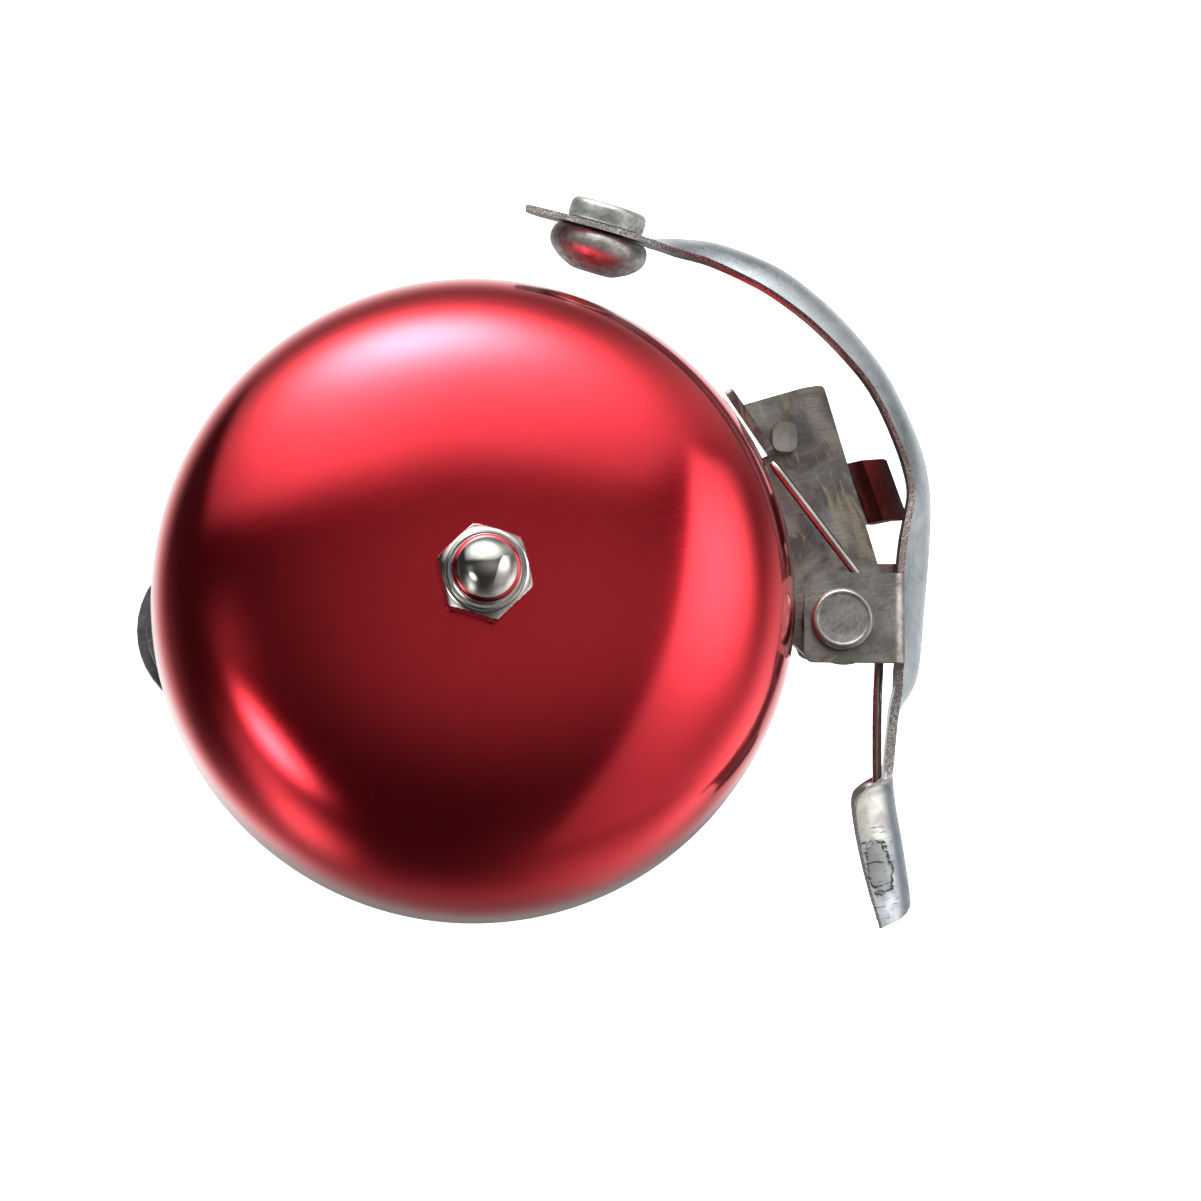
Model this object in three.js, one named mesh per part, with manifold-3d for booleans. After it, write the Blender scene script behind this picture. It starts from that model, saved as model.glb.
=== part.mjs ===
// Bicycle bell with a spring hammer: a spun aluminium dome on a stud, a stamped steel base,
// a sprung thumb lever that carries the hammer, and a two-part clamp for a handlebar.
// Millimetres. Origin at the centre of the clamp bore, +Y along the handlebar,
// +Z up the bell's axis to the acorn nut, +X from the bell's axis to the lever.
import * as THREE from 'three';
import { mergeVertices } from 'three/addons/utils/BufferGeometryUtils.js';
import Module from 'manifold-3d';

const wasm = await Module();
wasm.setup();

// ---- Driving dimensions --------------------------------------------------------------------

const GAP = 0.3;                  // between stacked or cut pieces
const RUN = 0.08;                 // radial running clearance of a pin in its hole

const BAR_RADIUS = 11.1;          // 22.2 mm handlebar
const BORE_RADIUS = BAR_RADIUS + 0.1;
const RIM_HEIGHT = 17.5;          // dome rim above the centre of the handlebar

const DOME_RADIUS = 30;
const DOME_HEIGHT = 19.7;
const DOME_WALL = 1.2;
const DOME_SKIRT = 4;             // straight part of the side wall
const DOME_SQUARENESS = 2.5;      // exponent of the superellipse above the skirt

const STUD_RADIUS = 2.45;
const STUD_HOLE = 2.7;
const POST_RADIUS = 4;
const NUT_FLATS = 8;
const NUT_HEX_HEIGHT = 3.2;
const NUT_TURN = 43.3;            // degrees from +X to the first corner
const NUT_BALL_RADIUS = 3.2;

const BASE_THICKNESS = 1.2;
const BASE_TOP = -2.3;            // heights below are from the rim plane
const PLATE_THICKNESS = 1;
const PLATE_TOP = -1;
const PLATE_RIVETS = [[11.5, 0], [19.5, 0.5]];
const RIVET_SHANK = 1.45;
const SADDLE_RIVETS = [-6.2, 6.2]; // places along Y of the rivets that hold the clamp's saddle

const PIVOT = { x: 34.3, y: -1.8 };
const PIN_RADIUS = 1.7;
const SHEET = 0.85;               // lever sheet
const LEVER_MIDDLE = 0.3;         // height of the lever's middle plane
const HUB_HALF_WIDTH = 5.1;
const LEVER_LEAN = { x: -0.073, y: -0.141 };  // sideways shift of the sheet per mm of height
const PAD_LEAN = -0.06;           // further shift along Y at the thumb pad
const HAMMER_TILT = -16.5;        // degrees from +Y to the hammer rivet's axis, about +Z
const HAMMER_RISE = 8.9;          // degrees the hammer rivet's axis rises with the leaning sheet
const HAMMER_SEAT = { x: -21.9, y: 37.69 };

const WIRE_RADIUS = 0.44;
const COIL_RADIUS = 3.5;
const COIL_CENTRE = { x: 0.6, y: 0.3 };

const CLAMP_SHEET = 1.2;
const CLAMP_HALF_WIDTH = 8;
const CLAMP_ARC = 13.1;           // middle of the clamp sheet
const CLAMP_FLAT = 3;             // half length of the flat crown
const EAR_HEIGHT = 1.8;           // middle of each clamp ear from the bore's centre plane
const HINGE_X = 18.3;
const HINGE_PIN = 1.2;
const KNUCKLE_RADIUS = 2.2;
const KNUCKLE_SPLIT = 2.75;       // half width of the strap's knuckle, at the middle of the cut
const CLAMP_BOLT_X = -23.2;
const CLAMP_BOLT_RADIUS = 2.4;

const degrees = THREE.MathUtils.degToRad;

// ---- Materials -----------------------------------------------------------------------------

function metal(color, roughness, metalness = 1) {
  return new THREE.MeshStandardMaterial({ color, roughness, metalness });
}
const anodisedRed = metal(0xb80f22, 0.18);
const polishedNickel = metal(0xd8d5d2, 0.08);
const zincPlate = metal(0xaebac0, 0.3);
const tintedSteel = metal(0x777068, 0.42);
const dullSteel = metal(0x8d8a88, 0.48);
const springSteel = metal(0x8f8684, 0.25);
const darkPlate = metal(0x6d6f72, 0.4);
const brass = metal(0xb2914f, 0.35);
const rubber = metal(0x1b1b1c, 0.85, 0);
const fibre = metal(0x3a2a22, 0.8, 0);

// ---- Solids --------------------------------------------------------------------------------

function signedVolume(positions, triangles) {
  const [a, b, c] = [new THREE.Vector3(), new THREE.Vector3(), new THREE.Vector3()];
  let sum = 0;
  for (let i = 0; i < triangles.length; i += 3) {
    a.fromArray(positions, triangles[i] * 3);
    b.fromArray(positions, triangles[i + 1] * 3);
    c.fromArray(positions, triangles[i + 2] * 3);
    sum += a.dot(b.cross(c));
  }
  return sum / 6;
}

// A closed geometry as a solid: position only, shared corners merged, faces turned outward.
function solid(geometry) {
  const bare = new THREE.BufferGeometry();
  bare.setAttribute('position', geometry.getAttribute('position'));
  bare.setIndex(geometry.index);
  const merged = mergeVertices(bare, 1e-4);
  const positions = merged.getAttribute('position').array;
  const index = merged.index.array;
  const triangles = [];
  for (let i = 0; i < index.length; i += 3) {
    const [p, q, r] = [index[i], index[i + 1], index[i + 2]];
    if (p !== q && q !== r && r !== p) triangles.push(p, q, r);
  }
  if (signedVolume(positions, triangles) < 0) triangles.reverse();
  return new wasm.Manifold(new wasm.Mesh({
    numProp: 3,
    vertProperties: new Float32Array(positions),
    triVerts: new Uint32Array(triangles),
  }));
}

function geometryOf(body) {
  const mesh = body.getMesh();
  const geometry = new THREE.BufferGeometry();
  const positions = new Float32Array(mesh.vertProperties);
  geometry.setAttribute('position', new THREE.BufferAttribute(positions, 3));
  geometry.setIndex(new THREE.BufferAttribute(new Uint32Array(mesh.triVerts), 1));
  return geometry;
}

function joined(bodies) {
  return bodies.reduce((sum, body) => sum.add(body));
}

function cut(body, tools) {
  return tools.reduce((rest, tool) => rest.subtract(tool), body);
}

function box(low, high) {
  const size = low.map((value, i) => high[i] - value);
  const middle = low.map((value, i) => (high[i] + value) / 2);
  return solid(new THREE.BoxGeometry(...size).translate(...middle));
}

// A turned piece about +Z from [radius, height] points that start and end on the axis or close.
function turned(profile, segments = 32) {
  const points = profile.map(([r, z]) => new THREE.Vector2(r, z));
  return solid(new THREE.LatheGeometry(points, segments).rotateX(Math.PI / 2));
}

function rod(radius, low, high, x = 0, y = 0, segments = 24) {
  const body = turned([[0, low], [radius, low], [radius, high], [0, high]], segments);
  return body.translate([x, y, 0]);
}

function ring(inner, outer, low, high, segments = 24) {
  return turned([[inner, low], [outer, low], [outer, high], [inner, high], [inner, low]], segments);
}

function hexagon(flats, low, high) {
  const corner = flats / Math.sqrt(3);
  const geometry = new THREE.CylinderGeometry(corner, corner, high - low, 6);
  geometry.rotateX(Math.PI / 2).rotateZ(Math.PI / 2);
  return solid(geometry.translate(0, 0, (low + high) / 2));
}

// A flat plate between two heights. The outline is a THREE.Shape in X and Y.
function plate(outline, low, high, curveSegments = 8) {
  const settings = { depth: high - low, bevelEnabled: false, curveSegments };
  return solid(new THREE.ExtrudeGeometry(outline, settings).translate(0, 0, low));
}

// An outline through corners [x, y, rounding], each corner rounded by a quadratic curve.
function roundedOutline(corners) {
  const shape = new THREE.Shape();
  const count = corners.length;
  corners.forEach(([x, y, rounding = 0], i) => {
    const here = new THREE.Vector2(x, y);
    const before = new THREE.Vector2(...corners[(i + count - 1) % count]);
    const after = new THREE.Vector2(...corners[(i + 1) % count]);
    const start = here.clone().add(before.sub(here).setLength(rounding));
    const end = here.clone().add(after.sub(here).setLength(rounding));
    if (i === 0) shape.moveTo(start.x, start.y);
    else shape.lineTo(start.x, start.y);
    if (rounding > 0) shape.quadraticCurveTo(x, y, end.x, end.y);
  });
  shape.closePath();
  return shape;
}

// A bent sheet: a middle line of [u, v] points given a thickness, as a closed outline.
function bentOutline(middle, thickness) {
  const offset = (i, side) => {
    const last = middle.length - 1;
    const [ax, ay] = middle[Math.max(i - 1, 0)];
    const [bx, by] = middle[Math.min(i + 1, last)];
    const length = Math.hypot(bx - ax, by - ay);
    const half = side * thickness / 2;
    const [x, y] = middle[i];
    return new THREE.Vector2(x - (by - ay) / length * half, y + (bx - ax) / length * half);
  };
  const upper = middle.map((point, i) => offset(i, 1));
  const lower = middle.map((point, i) => offset(i, -1)).reverse();
  return new THREE.Shape([...upper, ...lower]);
}

// An outline in X and Z extruded along Y.
function alongY(outline, from, to) {
  const settings = { depth: to - from, bevelEnabled: false, curveSegments: 8 };
  const geometry = new THREE.ExtrudeGeometry(outline, settings).rotateX(Math.PI / 2);
  return solid(geometry.translate(0, to, 0));
}

function arcPoints(cx, cy, radius, from, to, steps) {
  return Array.from({ length: steps + 1 }, (unused, i) => {
    const angle = degrees(from + (to - from) * i / steps);
    return [cx + radius * Math.cos(angle), cy + radius * Math.sin(angle)];
  });
}

function node(name, body, material) {
  const mesh = new THREE.Mesh(geometryOf(body), material);
  mesh.name = name;
  return mesh;
}

// ---- Dome, stud and nut: heights from the rim plane ------------------------------------------

function domeCurve(radius, height, steps) {
  const power = 2 / DOME_SQUARENESS;
  return Array.from({ length: steps + 1 }, (unused, i) => {
    const angle = i / steps * Math.PI / 2;
    const r = radius * Math.cos(angle) ** power;
    return [r, DOME_SKIRT + (height - DOME_SKIRT) * Math.sin(angle) ** power];
  });
}

function bellDome() {
  const outer = domeCurve(DOME_RADIUS, DOME_HEIGHT, 15).filter(([r]) => r > STUD_HOLE);
  const inner = domeCurve(DOME_RADIUS - DOME_WALL, DOME_HEIGHT - DOME_WALL, 11);
  const profile = [
    [DOME_RADIUS, 0],
    ...outer,
    [STUD_HOLE, DOME_HEIGHT],
    [STUD_HOLE, DOME_HEIGHT - DOME_WALL],
    ...inner.filter(([r]) => r > STUD_HOLE).reverse(),
    [DOME_RADIUS - DOME_WALL, 0],
    [DOME_RADIUS, 0],
  ];
  return turned(profile, 60);
}

function acornNut() {
  const corner = NUT_FLATS / Math.sqrt(3);
  const chamfer = turned([[0, 0], [corner + 1, 0], [corner + 1, NUT_HEX_HEIGHT - 1.1],
    [3.7, NUT_HEX_HEIGHT], [0, NUT_HEX_HEIGHT]]);
  const hex = hexagon(NUT_FLATS, 0, NUT_HEX_HEIGHT).intersect(chamfer);
  const step = rod(3.55, NUT_HEX_HEIGHT - 0.2, NUT_HEX_HEIGHT + 0.35, 0, 0, 32);
  const ballBase = NUT_HEX_HEIGHT + 0.2;
  const crown = arcPoints(0, ballBase + 0.9, NUT_BALL_RADIUS, 0, 90, 9);
  const ball = turned([[0, ballBase], [NUT_BALL_RADIUS - 0.1, ballBase], ...crown.slice(0, -1),
    [0, ballBase + 0.9 + NUT_BALL_RADIUS]], 36);
  const thread = rod(STUD_RADIUS + RUN, -1, 5.2);
  return cut(joined([hex, step, ball]), [thread]).rotate([0, 0, NUT_TURN]);
}

function centreBolt(headTop, tip) {
  const head = turned([[0, headTop - 1.1], [3.6, headTop - 1.1], [4.4, headTop - 0.7],
    [4.4, headTop], [0, headTop]]);
  return joined([head, rod(STUD_RADIUS, headTop - 0.5, tip)]);
}

// ---- Base plate and hammer bracket -------------------------------------------------------------

function basePlate() {
  const outline = roundedOutline([[-11, -8, 6], [26, -8, 2], [26, 8, 2], [-11, 8, 6]]);
  const body = plate(outline, BASE_TOP - BASE_THICKNESS, BASE_TOP);
  const holes = PLATE_RIVETS.map(([x, y]) => rod(RIVET_SHANK + RUN, -9, 9, x, y));
  const saddleHoles = SADDLE_RIVETS.map((y) => rod(RIVET_SHANK + RUN, -9, 9, 0, y));
  return cut(body, [rod(STUD_HOLE, -9, 9), ...holes, ...saddleHoles]);
}

// The edge flange that stands up beside the dome and leans a little towards it.
function edgeFlange() {
  const outline = roundedOutline([
    [0, 0], [5.4, 0], [5.2, 4.6, 0.8], [-1.9, 5.4, 0.6], [-1.5, 3.4, 0.5], [0, 1.6],
  ]);
  return plate(outline, -0.42, 0.42)
    .rotate([90 + 9, 0, 0])
    .rotate([0, 0, -55.6])
    .translate([25.6, 19.15, PLATE_TOP - PLATE_THICKNESS]);
}

// The stop tab: bent up from the plate's outer edge, with a second bend near its tip.
function stopTab() {
  const root = { x: 35.3, y: 13.9, turn: -70.35 };
  const section = bentOutline([[-0.9, -1.5], [0.45, -1.5], [1.7, 0.85], [3.3, 1.75]], 0.9);
  const body = alongY(section, -8, 2).rotate([0, 0, root.turn + 90]).translate([root.x, root.y, 0]);
  return body.intersect(box([30, 8.3, -4], [44, 14, 6]));
}

function springLug() {
  const outline = roundedOutline([
    [28.2, 14.7, 0.9], [30.5, 14.5, 1.1], [30.5, 17.4, 0.9], [28.2, 17.4, 0.6],
  ]);
  return plate(outline, PLATE_TOP - 0.4, 1.9);
}

function hammerBracket() {
  const outline = roundedOutline([
    [8, -6, 1], [18, -6, 2], [24, -1.8, 2], [28.8, -1.8, 1], [32, -4.7, 0.4], [38.9, -4.7, 2],
    [39.1, 2, 1], [33.3, 21.5, 0.6], [31.4, 21.2, 0.3], [25.4, 19.4], [28.5, 14.9, 0.3],
    [26, 13.8, 1], [16, 7, 3], [8, 7, 1],
  ]);
  const flat = plate(outline, PLATE_TOP - PLATE_THICKNESS, PLATE_TOP);
  const holes = PLATE_RIVETS.map(([x, y]) => rod(RIVET_SHANK + RUN, -9, 9, x, y));
  holes.push(rod(PIN_RADIUS + RUN, -9, 9, PIVOT.x, PIVOT.y));
  return cut(joined([flat, edgeFlange(), stopTab(), springLug()]), holes);
}

function headedRivet(shank, headRadius, headHeight, low, high, tailRadius, tailHeight) {
  const profile = [
    [0, low - tailHeight], [tailRadius * 0.75, low - tailHeight], [tailRadius, low - tailHeight * 0.5],
    [tailRadius, low], [shank, low], [shank, high], [headRadius, high],
    [headRadius, high + headHeight * 0.65], [headRadius * 0.9, high + headHeight], [0, high + headHeight],
  ];
  return turned(profile, 20);
}

// ---- Striker lever: X and Y from the pivot's axis ------------------------------------------------

// Crown of the lever's outer face from the hammer's tip to the thumb pad's end:
// [x, y, half width, dish depth at the edges, exponent of the dish].
const LEVER_STATIONS = [
  [-29.2, 40.0, 1.6, 0, 2], [-28.6, 39.85, 3.3, 0, 2], [-27.2, 39.5, 4.4, 0, 2],
  [-24.6, 38.85, 4.6, 0, 2], [-21.8, 38.1, 4.6, 0, 2], [-19.2, 37.35, 4.6, 0, 2],
  [-17.4, 36.95, 4.6, 0.2, 2], [-15.1, 37.0, 4.6, 1.1, 2.3], [-11.6, 36.7, 4.6, 1.8, 2.7],
  [-8.1, 35.6, 4.6, 2.2, 3], [-4.7, 34.0, 4.6, 2.4, 3], [-1.4, 31.5, 4.6, 2.3, 3],
  [0.9, 29.3, 4.6, 2.2, 3], [3.0, 26.9, 4.6, 2.05, 3], [4.7, 24.6, 4.6, 1.9, 3],
  [6.15, 22.0, 4.6, 1.8, 3], [7.6, 18.8, 4.6, 1.8, 2.7], [8.5, 16.0, 4.6, 1.65, 2.4],
  [8.95, 13.2, 4.6, 1.5, 2.2], [9.0, 10.6, 4.7, 1.9, 2], [8.85, 8.0, 4.9, 2.35, 2],
  [8.65, 5.3, HUB_HALF_WIDTH, 2.5, 2], [8.4, 2.6, HUB_HALF_WIDTH, 2.4, 2],
  [8.15, -0.3, HUB_HALF_WIDTH, 2.15, 2], [7.9, -3.0, HUB_HALF_WIDTH, 1.9, 2],
  [7.55, -4.9, 4.7, 1.6, 2], [6.9, -6.3, 4.1, 1.0, 2], [6.15, -7.4, 3.6, 0.35, 2],
  [5.7, -8.8, 3.3, 0.05, 2], [5.4, -11.3, 3.2, 0, 2], [5.25, -13.4, 3.3, 0.1, 2],
  [5.25, -14.1, 3.8, 0.8, 3], [5.27, -14.6, 4.5, 2.1, 4], [5.32, -15.2, 5.0, 3.2, 5],
  [5.4, -16.0, 5.2, 3.75, 5], [5.6, -17.4, 5.2, 3.9, 5], [6.0, -19.6, 5.2, 3.95, 5],
  [6.4, -22.2, 5.2, 3.8, 5], [6.75, -24.8, 5.1, 3.5, 5], [6.95, -27.0, 4.9, 3.1, 5],
  [6.9, -29.4, 4.5, 2.6, 5],
];

// One dished sheet lofted along the stations: outer and inner faces joined at the edges. The
// whole sheet leans as it rises, and the thumb pad leans a little more.
function leverSheet() {
  const across = 10;
  const ringSize = 2 * (across + 1);
  const positions = [];
  LEVER_STATIONS.forEach(([x, y, halfWidth, depth, power], i) => {
    const before = LEVER_STATIONS[Math.max(i - 1, 0)];
    const after = LEVER_STATIONS[Math.min(i + 1, LEVER_STATIONS.length - 1)];
    const tangent = new THREE.Vector2(after[0] - before[0], after[1] - before[1]).normalize();
    const outward = new THREE.Vector2(-tangent.y, tangent.x);
    const section = [];
    for (let j = 0; j <= across; j += 1) {
      const w = Math.sin((j / across - 0.5) * Math.PI);
      const slope = -depth * power * Math.abs(w) ** (power - 1) * Math.sign(w) / halfWidth;
      const tilt = Math.hypot(1, slope);
      section.push([halfWidth * w, -depth * Math.abs(w) ** power, slope / tilt, 1 / tilt]);
    }
    const outer = section.map(([z, n]) => [z, n]);
    const inner = section.map(([z, n, a, b]) => [z + SHEET * a, n - SHEET * b]).reverse();
    const leanY = LEVER_LEAN.y + PAD_LEAN * THREE.MathUtils.smoothstep(-y, 11, 15);
    for (const [z, n] of [...outer, ...inner]) {
      const leanedX = x + outward.x * n + LEVER_LEAN.x * z;
      const leanedY = y + outward.y * n + leanY * z;
      positions.push(leanedX, leanedY, LEVER_MIDDLE + z);
    }
  });
  const index = [];
  const quad = (a, b, c, d) => index.push(a, b, c, a, c, d);
  for (let i = 0; i < LEVER_STATIONS.length - 1; i += 1) {
    for (let j = 0; j < ringSize; j += 1) {
      const k = (j + 1) % ringSize;
      quad(i * ringSize + j, i * ringSize + k, (i + 1) * ringSize + k, (i + 1) * ringSize + j);
    }
  }
  for (const [start, flip] of [[0, true], [(LEVER_STATIONS.length - 1) * ringSize, false]]) {
    for (let j = 0; j < across; j += 1) {
      const [a, b] = [start + j, start + j + 1];
      const [c, d] = [start + ringSize - 2 - j, start + ringSize - 1 - j];
      if (flip) quad(d, c, b, a);
      else quad(a, b, c, d);
    }
  }
  const geometry = new THREE.BufferGeometry();
  geometry.setAttribute('position', new THREE.Float32BufferAttribute(positions, 3));
  geometry.setIndex(index);
  return solid(geometry);
}

// Straight cuts that shape the pad's end: [x, y] on the cut and its turn from +X.
const PAD_END = [[3.2, -28.2, 24], [6.2, -26.8, 56]];

function strikerLever() {
  const top = LEVER_MIDDLE + HUB_HALF_WIDTH;
  const bottom = LEVER_MIDDLE - HUB_HALF_WIDTH;
  const nearEar = roundedOutline([[-3.5, -3.9, 0.9], [5.4, -3.9], [5.45, 4.5], [-3.5, 4.5, 2.2]]);
  const farEar = roundedOutline([[-3.5, -2.4, 1.4], [6.1, -2.4], [6.25, 6.7], [-3.5, 6.7, 3]]);
  const ears = [plate(nearEar, top - 0.9, top), plate(farEar, bottom, bottom + 0.9)];
  const endCuts = PAD_END.map(([x, y, turn]) => box([-20, -40, -20], [20, 0, 20])
    .rotate([8, 0, turn])
    .translate([x, y, LEVER_MIDDLE]));
  const pin = rod(PIN_RADIUS + RUN, -20, 20);
  const hammerHole = rod(1.6 + RUN, -3, 3, 0, 0)
    .rotate([-90 + HAMMER_RISE, 0, HAMMER_TILT])
    .translate([HAMMER_SEAT.x, HAMMER_SEAT.y, LEVER_MIDDLE]);
  return cut(joined([leverSheet(), ...ears]), [...endCuts, pin, hammerHole]);
}

// The hammer: a round-nosed rivet closed by a flat head on the lever's outer side.
function hammerRivet() {
  const grip = SHEET / 2 + 0.12;
  const profile = [
    [0, 2.35], [3.0, 2.35], [3.45, 2.2], [3.65, 1.8], [3.65, grip], [1.6, grip], [1.6, -grip],
    [3.7, -grip], [4.35, -0.95], [4.7, -1.8], [4.6, -2.55], [4.1, -3.3], [3.2, -3.9],
    [2.0, -4.25], [0, -4.25],
  ];
  const points = profile.map(([r, y]) => new THREE.Vector2(r, y));
  return solid(new THREE.LatheGeometry(points, 32));
}

// Torsion spring: one leg on the bracket's lug, a coil round the pivot, one leg down to the pad.
function torsionSpring() {
  const startAngle = 36.4;
  const turns = 3 + startAngle / 360;
  const [coilTop, coilBottom] = [3.35, 0.3];
  const points = [[-6.1, 15.4, 1.4], [-3.4, 11.7, 2.0], [0.6, 6.2, 2.8]];
  const steps = 48;
  for (let i = 0; i <= steps; i += 1) {
    const angle = degrees(startAngle - 360 * turns * i / steps);
    points.push([
      COIL_CENTRE.x + COIL_RADIUS * Math.cos(angle),
      COIL_CENTRE.y + COIL_RADIUS * Math.sin(angle),
      coilTop + (coilBottom - coilTop) * i / steps,
    ]);
  }
  points.push([4.0, -3.4, 0.28], [3.82, -7.5, 0.25], [3.78, -12.0, 0.2], [3.8, -16.6, 0.2]);
  const path = new THREE.CatmullRomCurve3(points.map((point) => new THREE.Vector3(...point)));
  const circle = new THREE.EllipseCurve(0, 0, WIRE_RADIUS, WIRE_RADIUS).getPoints(6).slice(0, 6);
  const section = new THREE.Shape(circle);
  return solid(new THREE.ExtrudeGeometry(section, { steps: 110, extrudePath: path, bevelEnabled: false }));
}

// ---- Clamp: heights from the centre of the bore ---------------------------------------------------

// Middle line of one half of the clamp, from the ear's end round the bar to the hinge.
function clampLine(earEnd, side) {
  const upper = [
    [earEnd, EAR_HEIGHT], [-18.6, EAR_HEIGHT],
    ...arcPoints(-18.6, EAR_HEIGHT + 2.6, 2.6, -90, -20, 4).slice(1),
    ...arcPoints(-CLAMP_FLAT, 0, CLAMP_ARC, 162, 90, 9),
    ...arcPoints(CLAMP_FLAT, 0, CLAMP_ARC, 90, 4, 11),
  ];
  return upper.map(([x, z]) => [x, side * z]);
}

function knuckle(from, to) {
  const barrel = ring(HINGE_PIN + RUN, KNUCKLE_RADIUS, from, to, 24);
  return barrel.rotate([-90, 0, 0]).translate([HINGE_X, 0, 0]);
}

function hingeRelief(from, to) {
  return rod(KNUCKLE_RADIUS + 0.35, from, to, 0, 0).rotate([-90, 0, 0]).translate([HINGE_X, 0, 0]);
}

function earTrim(earEnd, radius) {
  return joined([
    rod(radius, -6, 6, earEnd + radius, 0, 40),
    box([earEnd + radius, -radius, -20], [30, radius, 20]),
  ]);
}

function clampHalf(earEnd, side, knuckles, reliefs, earHole) {
  const outline = bentOutline(clampLine(earEnd, side), CLAMP_SHEET);
  const bent = alongY(outline, -CLAMP_HALF_WIDTH, CLAMP_HALF_WIDTH);
  const sheet = bent.intersect(earTrim(earEnd, CLAMP_HALF_WIDTH));
  const relieved = cut(sheet, reliefs.map(([from, to]) => hingeRelief(from, to)));
  const barrels = knuckles.map(([from, to]) => knuckle(from, to));
  return cut(joined([relieved, ...barrels]), [rod(earHole, -5, 5, CLAMP_BOLT_X, 0)]);
}

function clampSaddle() {
  const outside = KNUCKLE_SPLIT + 0.15;
  const knuckles = [[-CLAMP_HALF_WIDTH, -outside], [outside, CLAMP_HALF_WIDTH]];
  const body = clampHalf(-30.1, 1, knuckles, [[-outside, outside]], 2.75);
  const headHole = rod(4.9, 9, 16);
  const rivetHoles = SADDLE_RIVETS.map((y) => rod(RIVET_SHANK + RUN, 9, 16, 0, y));
  return cut(body, [headHole, ...rivetHoles]);
}

function clampStrap() {
  const inside = KNUCKLE_SPLIT - 0.15;
  const reliefs = [[-CLAMP_HALF_WIDTH - 1, -inside], [inside, CLAMP_HALF_WIDTH + 1]];
  return clampHalf(-30.9, -1, [[-inside, inside]], reliefs, 2.75);
}

function clampLiner(side) {
  const outerRadius = CLAMP_ARC - CLAMP_SHEET / 2 - 0.1;
  const outer = [
    ...arcPoints(-CLAMP_FLAT, 0, outerRadius, 172, 90, 10),
    ...arcPoints(CLAMP_FLAT, 0, outerRadius, 90, 8, 10),
  ];
  const inner = arcPoints(0, 0, BORE_RADIUS, 8, 172, 20);
  const corners = [...outer, ...inner].map(([x, z]) => new THREE.Vector2(x, side * z));
  const outline = new THREE.Shape(corners);
  const body = alongY(outline, -7.6, 7.6);
  if (side < 0) return body;
  return cut(body, SADDLE_RIVETS.map((y) => rod(2.6, 9, 16, 0, y)));
}

function clampScrew() {
  const under = -(EAR_HEIGHT + CLAMP_SHEET / 2) - 1.35;
  const head = turned([[0, under - 2.9], [2.6, under - 2.9], [4.1, under - 2.1], [4.4, under - 1.0],
    [4.4, under], [0, under]], 24);
  const slot = box([-5, -0.55, under - 4], [5, 0.55, under - 1.7]);
  const shank = rod(CLAMP_BOLT_RADIUS, under - 0.5, 8.4);
  return cut(joined([head, shank]), [slot]);
}

function clampNut() {
  return cut(hexagon(NUT_FLATS, 0, 3.6), [rod(CLAMP_BOLT_RADIUS + 0.25, -1, 5)]);
}

// ---- Assembly ----------------------------------------------------------------------------------

function bellGroup() {
  const group = new THREE.Group();
  group.position.z = RIM_HEIGHT;
  const domeInside = DOME_HEIGHT - DOME_WALL;
  const baseUnder = BASE_TOP - BASE_THICKNESS;
  const nut = node('acorn_nut', acornNut(), polishedNickel);
  nut.position.z = DOME_HEIGHT + GAP / 3;
  group.add(
    node('bell_dome', bellDome(), anodisedRed),
    nut,
    node('dome_washer', ring(STUD_HOLE, 5.5, domeInside - 1.3, domeInside - GAP), fibre),
    node('spacer_post', ring(STUD_HOLE, POST_RADIUS, BASE_TOP + 0.1, domeInside - 1.4), dullSteel),
    node('centre_bolt', centreBolt(baseUnder - 0.1, DOME_HEIGHT + 4.9), darkPlate),
    node('base_plate', basePlate(), darkPlate),
    node('hammer_bracket', hammerBracket(), tintedSteel),
  );
  PLATE_RIVETS.forEach(([x, y], i) => {
    const body = headedRivet(RIVET_SHANK, 2.5, 1.1, baseUnder - 0.1, PLATE_TOP + 0.1, 2.4, 0.7);
    const rivet = node(`plate_rivet_${i + 1}`, body, dullSteel);
    rivet.position.set(x, y, 0);
    group.add(rivet);
  });
  SADDLE_RIVETS.forEach((y, i) => {
    const saddleUnder = baseUnder - GAP - CLAMP_SHEET;
    const body = headedRivet(RIVET_SHANK, 2, 0.8, saddleUnder - 0.1, BASE_TOP + 0.1, 2, 0.5);
    const rivet = node(`saddle_rivet_${i + 1}`, body, dullSteel);
    rivet.position.set(0, y, 0);
    group.add(rivet);
  });
  return group;
}

function strikerGroup() {
  const group = new THREE.Group();
  group.position.set(PIVOT.x, PIVOT.y, RIM_HEIGHT);
  const earTop = LEVER_MIDDLE + HUB_HALF_WIDTH;
  const earBottom = LEVER_MIDDLE - HUB_HALF_WIDTH;
  const hammer = node('hammer_rivet', hammerRivet(), dullSteel);
  hammer.position.set(HAMMER_SEAT.x, HAMMER_SEAT.y, LEVER_MIDDLE);
  hammer.rotation.set(degrees(HAMMER_RISE), 0, degrees(HAMMER_TILT), 'ZYX');
  const pivotRivet = headedRivet(PIN_RADIUS, 2.9, 1.15, earBottom - 0.85, earTop + 0.1, 2.25, 0.9);
  group.add(
    node('striker_lever', strikerLever(), zincPlate),
    hammer,
    node('pivot_rivet', pivotRivet, dullSteel),
    node('pivot_washer', ring(PIN_RADIUS + RUN, 2.4, earBottom - 0.75, earBottom - 0.1), zincPlate),
    node('spring_bush', ring(PIN_RADIUS + RUN, 2.25, PLATE_TOP + 0.1, earTop - 1), brass),
    node('lower_bush', ring(PIN_RADIUS + RUN, 2.35, earBottom + 1, PLATE_TOP - PLATE_THICKNESS - 0.1), brass),
    node('torsion_spring', torsionSpring(), springSteel),
  );
  return group;
}

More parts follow.
